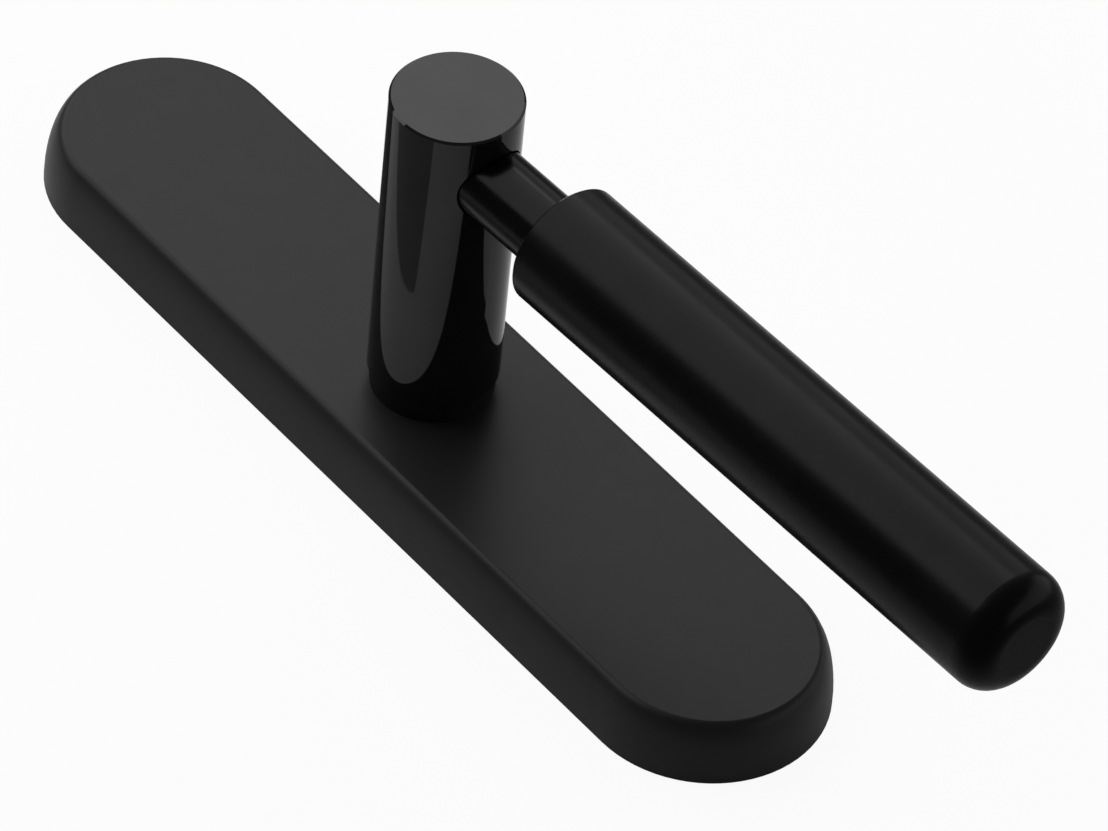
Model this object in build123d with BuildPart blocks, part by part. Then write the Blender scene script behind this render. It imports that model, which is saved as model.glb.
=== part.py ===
"""Lever door handle on a rounded backplate, with its fixings hidden behind the plate.

The handle lies on its back. The origin is on the lever's turning axis, in the plane of the door's face.
+Z points out of the door, and +X runs along the plate towards the grip. Lengths are in millimetres.
"""

import os

from build123d import *

# Cover plate: a stadium-shaped shell whose side curves in from the rim to the flat front.
PLATE_LENGTH = 182.0
PLATE_WIDTH = 41.0
PLATE_HEIGHT = 11.0
PLATE_EDGE_RUN = 3.1
COVER_WALL = 2.0
COVER_DRAFT = 8.0

# Mounting plate: a ribbed moulding that fills the cover from behind.
MOUNT_CLEARANCE = 0.3
MOUNT_RIM = 2.4
MOUNT_FLOOR = 2.0
MOUNT_RIB = 1.6
MOUNT_RIB_COUNT = 9
HUB_WALL = 2.0

# Threaded inserts, for the M4 bolts that come through the door.
INSERT_END_INSET = 21.0
INSERT_DIAMETER = 7.0
INSERT_BORE = 3.3
INSERT_ROOF = 1.2
INSERT_BOSS_WALL = 2.2

# Cover screws: M3, driven from behind through the mounting plate into bosses in the cover.
COVER_SCREW_END_INSET = 47.0
COVER_SCREW_DIAMETER = 3.0
COVER_SCREW_HEAD_DIAMETER = 5.6
COVER_SCREW_HEAD_HEIGHT = 1.5
COVER_SCREW_HEAD_SINK = 0.4
COVER_SCREW_SEAT = 1.4
COVER_SCREW_SLOT_WIDTH = 0.8
COVER_SCREW_SLOT_LENGTH = 3.4
COVER_SCREW_SLOT_DEPTH = 0.8
COVER_BOSS_WALL = 1.8

# Neck: a round post that stands on the plate, stepped down to a journal that turns in the plate.
NECK_DIAMETER = 21.6
NECK_PROJECTION = 72.5
NECK_TOP_EDGE = 0.35
NECK_FOOT_EDGE = 0.15
NECK_STEP = 2.3
JOURNAL_SINK = 0.7
JOURNAL_LIP = 1.0
JOURNAL_EDGE = 0.4

# Bearing bush: its collar shows as a ring under the neck.
BUSH_WALL = 1.0
BUSH_COLLAR_HEIGHT = 3.6
BUSH_COLLAR_SETBACK = 0.6

# Square spindle that works the latch. Its socket is open at the back of the neck.
SPINDLE_SIZE = 8.0
SPINDLE_CLEARANCE = 0.1

# Lever: a thin rod set across the neck near its top, and a thick round grip on the rod.
LEVER_ANGLE = 1.7
ROD_DIAMETER = 12.4
ROD_DROP = 11.0
ROD_EXPOSED = 15.75
ROD_SEAT_DEPTH = 6.0
ROD_SEAT_CLEARANCE = 0.25
ROD_NECK_SHOULDER = 2.2
ROD_NECK_SPIGOT_LENGTH = 9.0
ROD_NECK_SPIGOT_FLAT = 0.6
ROD_GRIP_SHOULDER = 1.2
ROD_GRIP_SPIGOT_LENGTH = 30.0
GRIP_DIAMETER = 21.1
GRIP_LENGTH = 106.9
GRIP_SHOULDER_EDGE = 0.5
GRIP_END_RADIUS = 5.0

# Set screws, M6: one clamps the spindle from the neck's side, one clamps the rod from inside the neck.
SET_SCREW_DIAMETER = 6.0
SET_SCREW_KEY = 3.0
SET_SCREW_KEY_DEPTH = 2.5
SET_SCREW_EDGE = 0.5
SPINDLE_SCREW_RISE = 8.0
SPINDLE_SCREW_SINK = 0.9
SPINDLE_SCREW_GAP = 0.3
ROD_SCREW_LENGTH = 10.0
ROD_SCREW_TO_SOCKET = 10.0

# Washers and retaining ring that keep the lever in the plate.
WASHER_WIDTH = 3.6
WASHER_THICKNESS = 0.8
WASHER_CLEARANCE = 0.8
SPRING_WIDTH = 2.8
SPRING_THICKNESS = 0.35
SPRING_HEIGHT = 0.6
RING_THICKNESS = 1.0
RING_GROOVE_DEPTH = 0.4
RING_WIDTH = 2.2
RING_WIDTH_AT_GAP = 1.4
RING_GAP = 3.0
RING_EAR_RADIUS = 1.6
RING_EAR_HOLE_RADIUS = 0.7

# Fits: radial for round ones, end to end for axial ones.
RUNNING_FIT = 0.05
PUSH_FIT = 0.05
AXIAL_PLAY = 0.15
END_GAP = 0.5

# Heights above the door's face.
cover_underside = PLATE_HEIGHT - COVER_WALL
mount_height = cover_underside - MOUNT_CLEARANCE
insert_length = mount_height - INSERT_ROOF - END_GAP
screw_head_top = COVER_SCREW_HEAD_SINK + COVER_SCREW_HEAD_HEIGHT
screw_boss_foot = screw_head_top + COVER_SCREW_SEAT
ring_bottom = JOURNAL_SINK + JOURNAL_LIP
ring_top = ring_bottom + RING_THICKNESS
washer_bottom = ring_top + SPRING_HEIGHT
hub_recess_depth = washer_bottom + WASHER_THICKNESS + AXIAL_PLAY
collar_top = PLATE_HEIGHT + BUSH_COLLAR_HEIGHT
neck_foot = collar_top + AXIAL_PLAY
spindle_screw_height = neck_foot + SPINDLE_SCREW_RISE
rod_height = NECK_PROJECTION - ROD_DROP

# Radii.
neck_radius = NECK_DIAMETER / 2
journal_radius = neck_radius - NECK_STEP
groove_radius = journal_radius - RING_GROOVE_DEPTH
journal_hole_radius = journal_radius + RUNNING_FIT
bush_radius = journal_hole_radius + BUSH_WALL
bush_hole_radius = bush_radius + PUSH_FIT
washer_radius = journal_hole_radius + WASHER_WIDTH
hub_recess_radius = washer_radius + WASHER_CLEARANCE
insert_radius = INSERT_DIAMETER / 2
cover_screw_radius = COVER_SCREW_DIAMETER / 2
cover_boss_radius = cover_screw_radius + COVER_BOSS_WALL
cover_boss_hole_radius = cover_boss_radius + MOUNT_CLEARANCE
set_screw_radius = SET_SCREW_DIAMETER / 2
set_screw_hole_radius = set_screw_radius + PUSH_FIT
socket_half = SPINDLE_SIZE / 2 + SPINDLE_CLEARANCE
rod_radius = ROD_DIAMETER / 2
neck_spigot_radius = rod_radius - ROD_NECK_SHOULDER
grip_spigot_radius = rod_radius - ROD_GRIP_SHOULDER

# The rod's set screw stands on the flat under the rod's spigot, and the spindle's socket ends below the screw.
rod_flat_height = rod_height - neck_spigot_radius + ROD_NECK_SPIGOT_FLAT
socket_end = rod_flat_height - ROD_SCREW_LENGTH - ROD_SCREW_TO_SOCKET

# Places along the lever, from the turning axis.
rod_seat = neck_radius - ROD_SEAT_DEPTH
rod_tip = rod_seat - ROD_NECK_SPIGOT_LENGTH
grip_start = neck_radius + ROD_EXPOSED

# Planes of the lever: seen from the front, seen along the rod, and through the rod's axis.
lever_front = Plane.XY.rotated((0, 0, LEVER_ANGLE))
rod_axis = Axis((0, 0, rod_height), lever_front.x_dir)
rod_across = Plane((0, 0, rod_height), x_dir=lever_front.y_dir, z_dir=lever_front.x_dir)
rod_along = Plane((0, 0, rod_height), x_dir=lever_front.x_dir, z_dir=-lever_front.y_dir)
spindle_screw_across = Plane(
    (0, 0, spindle_screw_height), x_dir=lever_front.x_dir, z_dir=lever_front.y_dir
)

# Patterns on the plate.
insert_places = GridLocations(PLATE_LENGTH - 2 * INSERT_END_INSET, 0, 2, 1)
cover_screw_places = GridLocations(PLATE_LENGTH - 2 * COVER_SCREW_END_INSET, 0, 2, 1)


def drafted_stadium(inset, height, mode=Mode.ADD):
    """Adds or cuts a block of the plate's outline, shrunk by the inset and narrowing with the cover's draft."""
    with BuildSketch() as outline:
        SlotOverall(PLATE_LENGTH - 2 * inset, PLATE_WIDTH - 2 * inset)
    extrude(outline.sketch, amount=height, taper=COVER_DRAFT, mode=mode)


def set_screw(plane, length):
    """Adds a headless screw that runs from the plane along its normal, with its key socket in the far end."""
    with BuildSketch(plane) as shank:
        Circle(set_screw_radius)
    extrude(shank.sketch, amount=length)
    chamfer(edges().filter_by(GeomType.CIRCLE), SET_SCREW_EDGE)
    with BuildSketch(plane.offset(length)) as key:
        RegularPolygon(SET_SCREW_KEY / 2, 6, major_radius=False)
    extrude(key.sketch, amount=-SET_SCREW_KEY_DEPTH, mode=Mode.SUBTRACT)


# Cover plate: a shell with a side like a quarter ellipse, a boss for each screw, and the hole for the bush.
end_centre = (PLATE_LENGTH - PLATE_WIDTH) / 2
half_top = PLATE_WIDTH / 2 - PLATE_EDGE_RUN
with BuildLine() as half_outline:
    EllipticalCenterArc((half_top, 0), PLATE_EDGE_RUN, PLATE_HEIGHT)
    Polyline((half_top, PLATE_HEIGHT), (0, PLATE_HEIGHT), (0, 0), (PLATE_WIDTH / 2, 0))
with BuildPart() as cover_plate:
    with BuildSketch(Plane.YZ.offset(-end_centre)):
        add(half_outline.line)
        make_face()
        mirror(about=Plane.YZ)
    extrude(amount=2 * end_centre)
    for side in (-1, 1):
        with BuildSketch(Plane.YZ.offset(side * end_centre)):
            add(half_outline.line)
            make_face()
        revolve(axis=Axis((side * end_centre, 0, 0), (0, 0, -side)), revolution_arc=180)
    drafted_stadium(COVER_WALL, cover_underside, mode=Mode.SUBTRACT)
    with BuildSketch(Plane.XY.offset(screw_boss_foot)):
        with cover_screw_places:
            Circle(cover_boss_radius)
            Circle(cover_screw_radius + PUSH_FIT, mode=Mode.SUBTRACT)
    extrude(amount=cover_underside - screw_boss_foot)
    with BuildSketch(Plane.XY.offset(cover_underside)):
        Circle(bush_hole_radius)
    extrude(amount=COVER_WALL, mode=Mode.SUBTRACT)
cover_plate.part.label = "cover_plate"

# Mounting plate: it fills the cover and is cored out from behind, which leaves a rim, ribs, a hub and bosses.
mount_inset = COVER_WALL + MOUNT_CLEARANCE
pocket_inset = mount_inset + MOUNT_RIM
pocket_length = PLATE_LENGTH - 2 * pocket_inset
pocket_width = PLATE_WIDTH - 2 * pocket_inset
with BuildPart() as mounting_plate:
    drafted_stadium(mount_inset, mount_height)
    with BuildSketch():
        SlotOverall(pocket_length, pocket_width)
        Rectangle(pocket_length, MOUNT_RIB, mode=Mode.SUBTRACT)
        with GridLocations(pocket_length / (MOUNT_RIB_COUNT + 1), 0, MOUNT_RIB_COUNT, 1):
            Rectangle(MOUNT_RIB, pocket_width, mode=Mode.SUBTRACT)
        Circle(hub_recess_radius + HUB_WALL, mode=Mode.SUBTRACT)
        with insert_places:
            Circle(insert_radius + INSERT_BOSS_WALL, mode=Mode.SUBTRACT)
        with cover_screw_places:
            Circle(cover_boss_hole_radius + MOUNT_RIB, mode=Mode.SUBTRACT)
    extrude(amount=mount_height - MOUNT_FLOOR, mode=Mode.SUBTRACT)
    with BuildSketch():
        Circle(hub_recess_radius)
    extrude(amount=hub_recess_depth, mode=Mode.SUBTRACT)
    with BuildSketch():
        Circle(bush_hole_radius)
    extrude(amount=mount_height, mode=Mode.SUBTRACT)
    with BuildSketch():
        with insert_places:
            Circle(insert_radius + PUSH_FIT)
    extrude(amount=insert_length + END_GAP, mode=Mode.SUBTRACT)
    with BuildSketch():
        with cover_screw_places:
            Circle(COVER_SCREW_HEAD_DIAMETER / 2 + MOUNT_CLEARANCE)
    extrude(amount=screw_head_top, mode=Mode.SUBTRACT)
    with BuildSketch():
        with cover_screw_places:
            Circle(cover_screw_radius + PUSH_FIT)
    extrude(amount=screw_boss_foot, mode=Mode.SUBTRACT)
    with BuildSketch(Plane.XY.offset(screw_boss_foot)):
        with cover_screw_places:
            Circle(cover_boss_hole_radius)
    extrude(amount=mount_height - screw_boss_foot, mode=Mode.SUBTRACT)
mounting_plate.part.label = "mounting_plate"

# Threaded inserts: two sleeves in the mounting plate, open to the door.
with BuildPart() as threaded_inserts:
    with BuildSketch():
        with insert_places:
            Circle(insert_radius)
            Circle(INSERT_BORE / 2, mode=Mode.SUBTRACT)
    extrude(amount=insert_length)
threaded_inserts.part.label = "threaded_inserts"

# Cover screws: two, with a cross slot in each head.
with BuildPart() as cover_screws:
    with BuildSketch(Plane.XY.offset(COVER_SCREW_HEAD_SINK)):
        with cover_screw_places:
            Circle(COVER_SCREW_HEAD_DIAMETER / 2)
    extrude(amount=COVER_SCREW_HEAD_HEIGHT)
    with BuildSketch(Plane.XY.offset(screw_head_top)):
        with cover_screw_places:
            Circle(cover_screw_radius)
    extrude(amount=cover_underside - END_GAP - screw_head_top)
    with BuildSketch(Plane.XY.offset(COVER_SCREW_HEAD_SINK)):
        with cover_screw_places:
            Rectangle(COVER_SCREW_SLOT_LENGTH, COVER_SCREW_SLOT_WIDTH)
            Rectangle(COVER_SCREW_SLOT_WIDTH, COVER_SCREW_SLOT_LENGTH)
    extrude(amount=COVER_SCREW_SLOT_DEPTH, mode=Mode.SUBTRACT)
cover_screws.part.label = "cover_screws"

# Bearing bush: a sleeve through the cover and the hub, with a collar that stands on the cover under the neck.
with BuildPart() as bearing_bush:
    with BuildSketch(Plane.XY.offset(hub_recess_depth)):
        Circle(bush_radius)
        Circle(journal_hole_radius, mode=Mode.SUBTRACT)
    extrude(amount=collar_top - hub_recess_depth)
    with BuildSketch(Plane.XY.offset(PLATE_HEIGHT)):
        Circle(neck_radius - BUSH_COLLAR_SETBACK)
        Circle(journal_hole_radius, mode=Mode.SUBTRACT)
    extrude(amount=BUSH_COLLAR_HEIGHT)
bearing_bush.part.label = "bearing_bush"

# Neck: the post and its journal, cut for the retaining ring, the spindle, the rod and the two set screws.
with BuildPart() as neck:
    with BuildSketch(lever_front.offset(neck_foot)):
        Circle(neck_radius)
    extrude(amount=NECK_PROJECTION - neck_foot)
    chamfer(edges().filter_by(GeomType.CIRCLE).sort_by(Axis.Z)[-1], NECK_TOP_EDGE)
    chamfer(edges().filter_by(GeomType.CIRCLE).sort_by(Axis.Z)[0], NECK_FOOT_EDGE)
    with BuildSketch(lever_front.offset(JOURNAL_SINK)):
        Circle(journal_radius)
    extrude(amount=neck_foot - JOURNAL_SINK)
    chamfer(edges().filter_by(GeomType.CIRCLE).sort_by(Axis.Z)[0], JOURNAL_EDGE)
    with BuildSketch(lever_front.offset(ring_bottom)):
        Circle(journal_radius)
        Circle(groove_radius, mode=Mode.SUBTRACT)
    extrude(amount=RING_THICKNESS, mode=Mode.SUBTRACT)
    with BuildSketch(lever_front.offset(JOURNAL_SINK)):
        Rectangle(2 * socket_half, 2 * socket_half)
    extrude(amount=socket_end - JOURNAL_SINK, mode=Mode.SUBTRACT)
    with BuildSketch(lever_front.offset(socket_end)):
        Circle(set_screw_hole_radius)
    extrude(amount=rod_height - socket_end, mode=Mode.SUBTRACT)
    with BuildSketch(rod_across.offset(rod_seat)):
        Circle(rod_radius + ROD_SEAT_CLEARANCE)
    extrude(amount=ROD_SEAT_DEPTH, mode=Mode.SUBTRACT)
    with BuildSketch(rod_across.offset(rod_tip - END_GAP)):
        Circle(neck_spigot_radius + PUSH_FIT)
    extrude(amount=ROD_NECK_SPIGOT_LENGTH + END_GAP, mode=Mode.SUBTRACT)
    with BuildSketch(spindle_screw_across):
        Circle(set_screw_hole_radius)
    extrude(amount=neck_radius, mode=Mode.SUBTRACT)
neck.part.label = "neck"

# Rod: a turned bar with a spigot at each end, the neck's with a flat below for its set screw.
with BuildPart() as rod:
    with BuildSketch(rod_along):
        with BuildLine():
            Polyline(
                (rod_tip, 0),
                (rod_tip, neck_spigot_radius),
                (rod_seat, neck_spigot_radius),
                (rod_seat, rod_radius),
                (grip_start, rod_radius),
                (grip_start, grip_spigot_radius),
                (grip_start + ROD_GRIP_SPIGOT_LENGTH, grip_spigot_radius),
                (grip_start + ROD_GRIP_SPIGOT_LENGTH, 0),
                close=True,
            )
        make_face()
    revolve(axis=rod_axis)
    with BuildSketch(lever_front.offset(rod_flat_height)):
        with Locations((rod_tip, 0)):
            Rectangle(ROD_NECK_SPIGOT_LENGTH, 2 * neck_spigot_radius, align=(Align.MIN, Align.CENTER))
    extrude(amount=-ROD_NECK_SPIGOT_FLAT, mode=Mode.SUBTRACT)
rod.part.label = "rod"

# Grip: a turned bar with a flat shoulder, a rounded end and a blind hole for the rod's spigot.
with BuildPart() as grip:
    with BuildSketch(rod_across.offset(grip_start)):
        Circle(GRIP_DIAMETER / 2)
    extrude(amount=GRIP_LENGTH)
    fillet(edges().filter_by(GeomType.CIRCLE).sort_by(rod_axis)[-1], GRIP_END_RADIUS)
    chamfer(edges().filter_by(GeomType.CIRCLE).sort_by(rod_axis)[0], GRIP_SHOULDER_EDGE)
    with BuildSketch(rod_across.offset(grip_start)):
        Circle(grip_spigot_radius + PUSH_FIT)
    extrude(amount=ROD_GRIP_SPIGOT_LENGTH + END_GAP, mode=Mode.SUBTRACT)
grip.part.label = "grip"

# Spindle set screw: in the neck's side, with its point just clear of the socket.
spindle_screw_start = socket_half + SPINDLE_SCREW_GAP
with BuildPart() as spindle_set_screw:
    set_screw(
        spindle_screw_across.offset(spindle_screw_start),
        neck_radius - SPINDLE_SCREW_SINK - spindle_screw_start,
    )
spindle_set_screw.part.label = "spindle_set_screw"

# Rod set screw: inside the neck, with its point up against the rod's flat.
with BuildPart() as rod_set_screw:
    set_screw(
        Plane((0, 0, rod_flat_height), x_dir=lever_front.x_dir, z_dir=(0, 0, -1)),
        ROD_SCREW_LENGTH,
    )
rod_set_screw.part.label = "rod_set_screw"

# Thrust washer: a plain ring that bears on the hub from behind.
with BuildPart() as thrust_washer:
    with BuildSketch(lever_front.offset(washer_bottom)):
        Circle(washer_radius)
        Circle(journal_hole_radius, mode=Mode.SUBTRACT)
    extrude(amount=WASHER_THICKNESS)
thrust_washer.part.label = "thrust_washer"

# Spring washer: a dished ring that takes up the play, with its inner edge on the retaining ring.
spring_radius = journal_hole_radius + SPRING_WIDTH
with BuildPart() as spring_washer:
    with BuildSketch(Plane.XZ):
        with BuildLine():
            Polyline(
                (journal_hole_radius, ring_top),
                (journal_hole_radius, ring_top + SPRING_THICKNESS),
                (spring_radius, washer_bottom),
                (spring_radius, washer_bottom - SPRING_THICKNESS),
                close=True,
            )
        make_face()
    revolve(axis=Axis.Z)
spring_washer.part.label = "spring_washer"

# Retaining ring: an open ring in the journal's groove, thinner towards its gap, with a drilled ear at each end.
ring_inner_radius = groove_radius + PUSH_FIT
ring_outer_radius = ring_inner_radius + (RING_WIDTH + RING_WIDTH_AT_GAP) / 2
ring_shift = (RING_WIDTH - RING_WIDTH_AT_GAP) / 2
ear_side = RING_GAP / 2 + RING_EAR_RADIUS
ear_reach = ((ring_inner_radius + RING_EAR_RADIUS) ** 2 - ear_side**2) ** 0.5
ear_places = Locations((ear_reach, -ear_side), (ear_reach, ear_side))
with BuildPart() as retaining_ring:
    with BuildSketch(lever_front.offset(ring_bottom)):
        with Locations((-ring_shift, 0)):
            Circle(ring_outer_radius)
        with ear_places:
            Circle(RING_EAR_RADIUS)
        Circle(ring_inner_radius, mode=Mode.SUBTRACT)
        with ear_places:
            Circle(RING_EAR_HOLE_RADIUS, mode=Mode.SUBTRACT)
        Rectangle(2 * ring_outer_radius, RING_GAP, align=(Align.MIN, Align.CENTER), mode=Mode.SUBTRACT)
    extrude(amount=RING_THICKNESS)
retaining_ring.part.label = "retaining_ring"

os.makedirs("parts", exist_ok=True)
for piece in (
    cover_plate,
    mounting_plate,
    threaded_inserts,
    cover_screws,
    bearing_bush,
    neck,
    rod,
    grip,
    spindle_set_screw,
    rod_set_screw,
    thrust_washer,
    spring_washer,
    retaining_ring,
):
    export_step(piece.part, f"parts/{piece.part.label}.step")
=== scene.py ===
"""Looks of the lever door handle: the finish of every piece, the floor, the light and the camera.

Lengths are in metres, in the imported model's frame: the back lies on the floor and +Z points out
of the door.
"""

import math

import bmesh
import bpy
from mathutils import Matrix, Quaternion, Vector

WHITE = (1, 1, 1, 1)

# Camera: the direction from the object to the camera, the turn about the view, and the lens.
IMAGE_WIDTH = 1108
FOCAL_LENGTH_PIXELS = 8437
SENSOR_WIDTH_MM = 36.0
CAMERA_AZIMUTH = math.radians(-42.83)
CAMERA_ELEVATION = math.radians(44.57)
CAMERA_ROLL = math.radians(6.03)
CAMERA_DISTANCE = 1.369
CAMERA_TARGET = Vector((0.00963, 0.01853, 0))

# Soft boxes: a main one high on the left, and weak ones low behind and on the right.
# Each is (azimuth, elevation, distance, width, height, watts), with the angles in degrees.
SOFT_BOXES = {
    "main_light": (184, 46, 1.3, 2.2, 1.2, 19.4),
    "back_light": (124, 29, 1.0, 0.5, 0.56, 0.75),
    "fill_light": (52, 14, 0.9, 1.8, 0.7, 3.3),
}

# Room: a sphere of dim walls.
ROOM_RADIUS = 3.0
ROOM_SEGMENTS = 32
ROOM_RINGS = 16
ROOM_DIM = 0.13

# Floor: its colour darkens away from a centre, painted shade that stands in for the far floor lying
# unlit, so that its far parts mirror darkly. The last three are the share of plain white in what
# the camera, near and far, and mirroring surfaces see.
FLOOR_SIZE = 8.0
FLOOR_GAP = 0.0002
FLOOR_COLOUR = (0.9, 0.9, 0.9, 1)
# Painted shade: the floor's colour far from the object, dark as if unlit.
FLOOR_PAINTED_SHADE_COLOUR = (0.06, 0.06, 0.06, 1)
FLOOR_FADE_CENTRE = (-0.025, -0.015, 0)
FLOOR_FADE_START = 0.08
FLOOR_FADE_END = 0.26
FLOOR_WHITE_SEEN = 0.93
FLOOR_WHITE_SEEN_FAR = 1.0
FLOOR_WHITE_MIRRORED = 0.1

# Flag: a grey sheet on the floor in front of the plate, seen only in mirroring surfaces, a painted
# dark reflection that the neck shows as a darker tongue.
FLAG_CORNERS = [(-0.07, -0.09), (0.03, -0.09), (0.008, -0.05), (-0.07, -0.05)]
FLAG_HEIGHT = 0.0005
# Colour of the painted dark reflection.
PAINTED_REFLECTION_COLOUR = (0.35, 0.35, 0.35, 1)
FLAG_ROUGHNESS = 1.0

# Patterns: the values between which a finish varies, the phase in radians that a wave texture of
# scale 1 runs through in a metre, and how far rolled strip's grain is drawn out along each axis.
PATTERN_LOW = 0.3
PATTERN_HIGH = 0.7
WAVE_PHASE = 20
STRIP_GRAIN = (8, 1, 1)


def direction(azimuth, elevation):
    """Unit vector at an azimuth from +X towards +Y and an elevation above the floor."""
    flat = math.cos(elevation)
    return Vector((flat * math.cos(azimuth), flat * math.sin(azimuth), math.sin(elevation)))


def add_object(name, data):
    """A new object in the scene."""
    thing = bpy.data.objects.new(name, data)
    bpy.context.scene.collection.objects.link(thing)
    return thing


def add_sheet(name, corners, height):
    """A flat stage piece with these corners."""
    mesh = bpy.data.meshes.new(name)
    mesh.from_pydata([(x, y, height) for x, y in corners], [], [range(len(corners))])
    sheet = add_object(name, mesh)
    return sheet


def new_material(name):
    """A new material with its node tree."""
    material = bpy.data.materials.new(name)
    material.use_nodes = True
    return material, material.node_tree


class Finish:
    """A procedural material: one main shader whose colour, roughness and relief vary."""

    def __init__(self, name, metallic=0.0, ior=1.5, specular=0.5):
        self.material, self.tree = new_material(name)
        self.shader = self.tree.nodes["Principled BSDF"]
        self.shader.inputs["Metallic"].default_value = metallic
        self.shader.inputs["IOR"].default_value = ior
        self.shader.inputs["Specular IOR Level"].default_value = specular
        self.place = self.tree.nodes.new("ShaderNodeTexCoord").outputs["Object"]

    def noise(self, size, detail=2.0, stretch=(1, 1, 1)):
        """Irregular pattern of grains of about this size, drawn out along each axis by a factor."""
        mapping = self.tree.nodes.new("ShaderNodeMapping")
        mapping.inputs["Scale"].default_value = [1 / factor for factor in stretch]
        self.tree.links.new(self.place, mapping.inputs["Vector"])
        texture = self.tree.nodes.new("ShaderNodeTexNoise")
        texture.inputs["Scale"].default_value = 1 / size
        texture.inputs["Detail"].default_value = detail
        self.tree.links.new(mapping.outputs["Vector"], texture.inputs["Vector"])
        return texture.outputs["Fac"]

    def rings(self, pitch):
        """Ridges across the turning axis, one for each pitch."""
        texture = self.tree.nodes.new("ShaderNodeTexWave")
        texture.bands_direction = "Z"
        texture.inputs["Scale"].default_value = math.tau / (WAVE_PHASE * pitch)
        self.tree.links.new(self.place, texture.inputs["Vector"])
        return texture.outputs["Fac"]

    def colour(self, pattern, dark, light):
        """Lets the colour vary between two values."""
        ramp = self.tree.nodes.new("ShaderNodeValToRGB")
        low, high = ramp.color_ramp.elements
        low.position = PATTERN_LOW
        low.color = (*dark, 1)
        high.position = PATTERN_HIGH
        high.color = (*light, 1)
        self.tree.links.new(pattern, ramp.inputs["Fac"])
        self.tree.links.new(ramp.outputs["Color"], self.shader.inputs["Base Color"])

    def roughness(self, pattern, low, high):
        """Lets the roughness vary between two values."""
        spread = self.tree.nodes.new("ShaderNodeMapRange")
        spread.inputs["From Min"].default_value = PATTERN_LOW
        spread.inputs["From Max"].default_value = PATTERN_HIGH
        spread.inputs["To Min"].default_value = low
        spread.inputs["To Max"].default_value = high
        self.tree.links.new(pattern, spread.inputs["Value"])
        self.tree.links.new(spread.outputs["Result"], self.shader.inputs["Roughness"])

    def relief(self, pattern, height):
        """Raises the pattern by a height."""
        bump = self.tree.nodes.new("ShaderNodeBump")
        bump.inputs["Distance"].default_value = height
        self.tree.links.new(pattern, bump.inputs["Height"])
        self.tree.links.new(bump.outputs["Normal"], self.shader.inputs["Normal"])

    def put_on(self, *nodes):
        """Gives this finish to pieces of the model."""
        for node in nodes:
            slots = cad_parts[node].data.materials
            slots.clear()
            slots.append(self.material)


def floor_white():
    """White where it is seen, with a share of its own shading, so that the shadow stays."""
    material, tree = new_material("floor_white")
    tree.nodes.clear()
    link = tree.links.new

    # Painted shade: the colour darkens with the distance from the fade's centre, as if the far
    # floor were unlit.
    place = tree.nodes.new("ShaderNodeTexCoord")
    reach = tree.nodes.new("ShaderNodeVectorMath")
    reach.operation = "DISTANCE"
    reach.inputs[1].default_value = FLOOR_FADE_CENTRE
    fade = tree.nodes.new("ShaderNodeMapRange")
    fade.interpolation_type = "SMOOTHSTEP"
    fade.inputs["From Min"].default_value = FLOOR_FADE_START
    fade.inputs["From Max"].default_value = FLOOR_FADE_END
    painted_shade_ramp = tree.nodes.new("ShaderNodeValToRGB")
    near, far = painted_shade_ramp.color_ramp.elements
    near.color = FLOOR_COLOUR
    far.color = FLOOR_PAINTED_SHADE_COLOUR
    matt = tree.nodes.new("ShaderNodeBsdfDiffuse")
    link(place.outputs["Object"], reach.inputs[0])
    link(reach.outputs["Value"], fade.inputs["Value"])
    link(fade.outputs["Result"], painted_shade_ramp.inputs["Fac"])
    link(painted_shade_ramp.outputs["Color"], matt.inputs["Color"])

    # Share of white, for the camera's rays and for mirrored ones.
    rays = tree.nodes.new("ShaderNodeLightPath")
    white = tree.nodes.new("ShaderNodeMapRange")
    white.inputs["To Min"].default_value = FLOOR_WHITE_SEEN
    white.inputs["To Max"].default_value = FLOOR_WHITE_SEEN_FAR
    seen = tree.nodes.new("ShaderNodeMath")
    seen.operation = "MULTIPLY"
    mirrored = tree.nodes.new("ShaderNodeMath")
    mirrored.operation = "MAXIMUM"
    share = tree.nodes.new("ShaderNodeMath")
    share.operation = "MULTIPLY_ADD"
    share.inputs[1].default_value = FLOOR_WHITE_MIRRORED
    link(fade.outputs["Result"], white.inputs["Value"])
    link(rays.outputs["Is Camera Ray"], seen.inputs[0])
    link(white.outputs["Result"], seen.inputs[1])
    link(rays.outputs["Is Glossy Ray"], mirrored.inputs[0])
    link(rays.outputs["Is Transmission Ray"], mirrored.inputs[1])
    link(mirrored.outputs["Value"], share.inputs[0])
    link(seen.outputs["Value"], share.inputs[2])

    glow = tree.nodes.new("ShaderNodeEmission")
    mix = tree.nodes.new("ShaderNodeMixShader")
    output = tree.nodes.new("ShaderNodeOutputMaterial")
    link(share.outputs["Value"], mix.inputs["Fac"])
    link(matt.outputs["BSDF"], mix.inputs[1])
    link(glow.outputs["Emission"], mix.inputs[2])
    link(mix.outputs["Shader"], output.inputs["Surface"])
    return material


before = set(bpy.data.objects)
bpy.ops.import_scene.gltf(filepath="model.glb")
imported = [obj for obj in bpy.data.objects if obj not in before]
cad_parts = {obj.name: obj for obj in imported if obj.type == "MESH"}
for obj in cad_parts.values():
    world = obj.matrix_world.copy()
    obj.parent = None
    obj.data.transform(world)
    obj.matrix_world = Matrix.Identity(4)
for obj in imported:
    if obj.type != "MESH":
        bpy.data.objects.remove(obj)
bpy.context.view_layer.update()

# Cover plate: fine satin coating with a slight orange peel.
plate = Finish("satin_black_plate", specular=0.175)
plate.colour(plate.noise(0.02), (0.0125, 0.0125, 0.0128), (0.0135, 0.0135, 0.0138))
plate.roughness(plate.noise(0.003), 0.4, 0.42)
plate.relief(plate.noise(0.0004), 0.000006)
plate.put_on("cover_plate")

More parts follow.
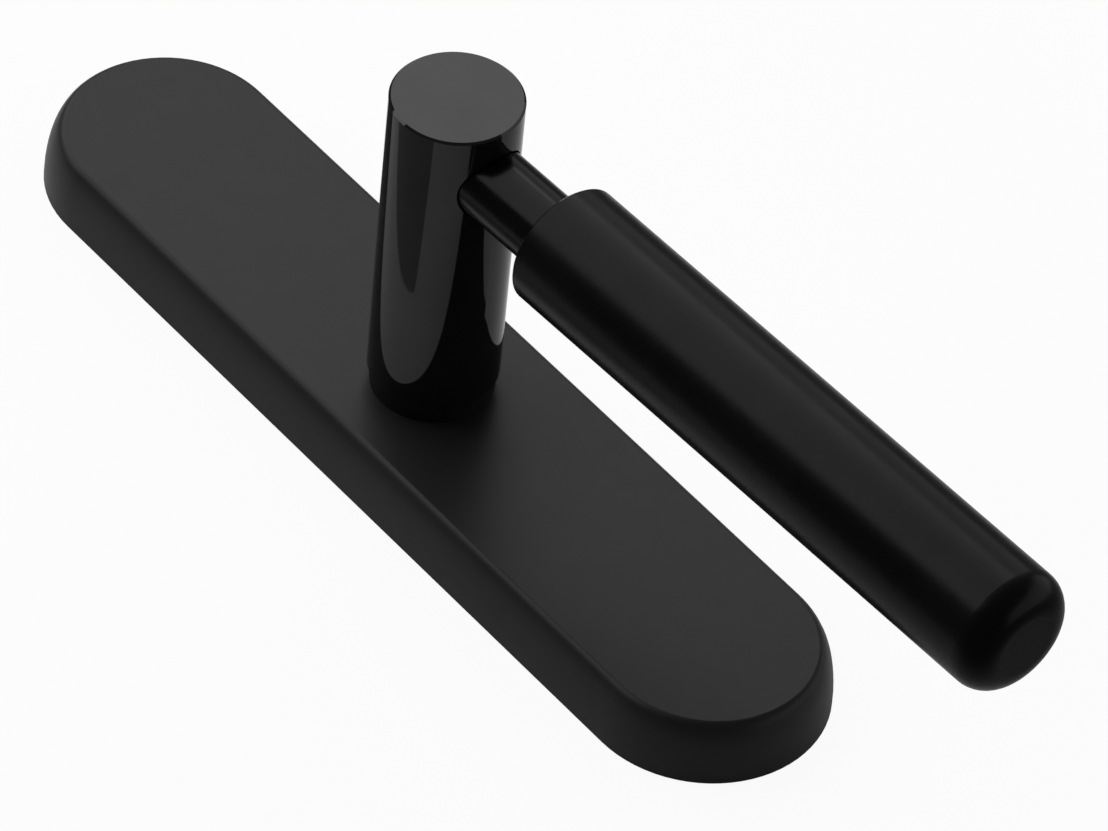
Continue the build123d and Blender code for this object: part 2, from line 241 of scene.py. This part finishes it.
# Neck: polished coating, with a few soft waves left by polishing.
polish = Finish("polished_black_neck", metallic=0.8)
polish.shader.inputs["Specular Tint"].default_value = (0.65, 0.65, 0.65, 1)
polish.colour(polish.noise(0.01), (0.028, 0.028, 0.029), (0.032, 0.032, 0.033))
polish.roughness(polish.noise(0.004), 0.035, 0.06)
polish.relief(polish.noise(0.006), 0.000003)
polish.put_on("neck")

# Rod: semi-gloss coating.
semi_gloss = Finish("semi_gloss_black_rod", specular=0.095)
semi_gloss.colour(semi_gloss.noise(0.008), (0.0025, 0.0025, 0.0027), (0.0035, 0.0035, 0.0037))
semi_gloss.roughness(semi_gloss.noise(0.003), 0.16, 0.2)
semi_gloss.relief(semi_gloss.noise(0.0005), 0.000002)
semi_gloss.put_on("rod")

# Grip: satin finish with a fine even grain.
satin = Finish("satin_black_grip", specular=0.097)
satin.colour(satin.noise(0.015), (0.0025, 0.0025, 0.0027), (0.004, 0.004, 0.0042))
satin.roughness(satin.noise(0.005), 0.24, 0.29)
satin.relief(satin.noise(0.0003), 0.000003)
satin.put_on("grip")

# Bearing bush: dull turned plastic.
acetal = Finish("black_acetal", specular=0.2)
acetal.colour(acetal.noise(0.004), (0.003, 0.003, 0.003), (0.005, 0.005, 0.005))
acetal.roughness(acetal.noise(0.002), 0.45, 0.55)
acetal.relief(acetal.rings(0.00025), 0.000004)
acetal.put_on("bearing_bush")

# Mounting plate: moulded plastic with a fine grain and faint flow marks.
nylon = Finish("black_nylon")
nylon.colour(nylon.noise(0.012, detail=5), (0.022, 0.022, 0.024), (0.034, 0.034, 0.036))
nylon.roughness(nylon.noise(0.003), 0.48, 0.62)
nylon.relief(nylon.noise(0.0006), 0.00003)
nylon.put_on("mounting_plate")

# Threaded inserts: turned brass, with the thread's ridges round the bore.
brass = Finish("insert_brass", metallic=1.0)
brass.colour(brass.noise(0.002), (0.62, 0.43, 0.17), (0.76, 0.57, 0.28))
brass.roughness(brass.noise(0.0006), 0.22, 0.36)
brass.relief(brass.rings(0.0007), 0.00035)
brass.put_on("threaded_inserts")

# Cover screws: zinc plating with small dull patches.
zinc = Finish("zinc_steel", metallic=1.0)
zinc.colour(zinc.noise(0.0015), (0.52, 0.53, 0.56), (0.68, 0.69, 0.71))
zinc.roughness(zinc.noise(0.0008), 0.24, 0.4)
zinc.relief(zinc.noise(0.0003), 0.00001)
zinc.put_on("cover_screws")

# Set screws: blackened steel.
blackened = Finish("blackened_steel", metallic=1.0)
blackened.colour(blackened.noise(0.001), (0.035, 0.035, 0.04), (0.065, 0.064, 0.066))
blackened.roughness(blackened.noise(0.0006), 0.32, 0.46)
blackened.relief(blackened.noise(0.0003), 0.00001)
blackened.put_on("spindle_set_screw", "rod_set_screw")

# Thrust washer: natural nylon.
washer = Finish("white_nylon", ior=1.53)
washer.colour(washer.noise(0.005), (0.72, 0.71, 0.66), (0.8, 0.79, 0.75))
washer.roughness(washer.noise(0.002), 0.42, 0.52)
washer.relief(washer.noise(0.0006), 0.00001)
washer.put_on("thrust_washer")

# Spring washer and retaining ring: phosphated spring steel with the grain of rolled strip.
spring = Finish("spring_steel", metallic=1.0)
spring.colour(spring.noise(0.0008, stretch=STRIP_GRAIN), (0.15, 0.15, 0.16), (0.24, 0.24, 0.25))
spring.roughness(spring.noise(0.0005, stretch=STRIP_GRAIN), 0.3, 0.42)
spring.relief(spring.noise(0.0004, stretch=STRIP_GRAIN), 0.000008)
spring.put_on("spring_washer", "retaining_ring")

# Floor.
half = FLOOR_SIZE / 2
floor_corners = [(-half, -half), (half, -half), (half, half), (-half, half)]
floor = add_sheet("floor", floor_corners, -FLOOR_GAP)
floor.data.materials.append(floor_white())

# Flag: a painted dark reflection, a sheet seen only in mirroring surfaces.
painted_reflection_sheet = add_sheet("painted_reflection_sheet", FLAG_CORNERS, FLAG_HEIGHT)
painted_reflection_sheet.visible_camera = False
painted_reflection_sheet.visible_shadow = False
painted_reflection_sheet.visible_diffuse = False
painted_reflection_material, flag_tree = new_material("painted_reflection_grey")
flag_shader = flag_tree.nodes["Principled BSDF"]
flag_shader.inputs["Base Color"].default_value = PAINTED_REFLECTION_COLOUR
flag_shader.inputs["Roughness"].default_value = FLAG_ROUGHNESS
painted_reflection_sheet.data.materials.append(painted_reflection_material)

# Room: unseen by the camera, so that the sides turned from the soft boxes stay dark.
room_mesh = bpy.data.meshes.new("room")
room_shape = bmesh.new()
bmesh.ops.create_uvsphere(
    room_shape, u_segments=ROOM_SEGMENTS, v_segments=ROOM_RINGS, radius=ROOM_RADIUS
)
room_shape.to_mesh(room_mesh)
room_shape.free()
room = add_object("room", room_mesh)
room.visible_camera = False
room_material, room_tree = new_material("room_dim")
room_tree.nodes.clear()
room_glow = room_tree.nodes.new("ShaderNodeEmission")
room_glow.inputs["Strength"].default_value = ROOM_DIM
room_output = room_tree.nodes.new("ShaderNodeOutputMaterial")
room_tree.links.new(room_glow.outputs["Emission"], room_output.inputs["Surface"])
room_mesh.materials.append(room_material)

# Light: the soft boxes, and the white that the camera sees behind the floor.
scene = bpy.context.scene
scene.world = bpy.data.worlds.new("white")
scene.world.use_nodes = True
backdrop = scene.world.node_tree.nodes["Background"]
backdrop.inputs["Color"].default_value = WHITE
backdrop.inputs["Strength"].default_value = 1.0

for name, (azimuth, elevation, distance, width, height, watts) in SOFT_BOXES.items():
    light = bpy.data.lights.new(name, "AREA")
    light.shape = "RECTANGLE"
    light.size = width
    light.size_y = height
    light.energy = watts
    soft_box = add_object(name, light)
    outward = direction(math.radians(azimuth), math.radians(elevation))
    soft_box.location = outward * distance
    soft_box.rotation_euler = outward.to_track_quat("Z", "Y").to_euler()
    soft_box.visible_camera = False

# Camera.
camera_data = bpy.data.cameras.new("camera")
camera_data.sensor_width = SENSOR_WIDTH_MM
camera_data.lens = SENSOR_WIDTH_MM * FOCAL_LENGTH_PIXELS / IMAGE_WIDTH
camera = add_object("camera", camera_data)
back = direction(CAMERA_AZIMUTH, CAMERA_ELEVATION)
roll = Quaternion((0, 0, 1), CAMERA_ROLL)
camera.location = CAMERA_TARGET + back * CAMERA_DISTANCE
camera.rotation_euler = (back.to_track_quat("Z", "Y") @ roll).to_euler()
scene.camera = camera

scene.view_settings.view_transform = "Standard"
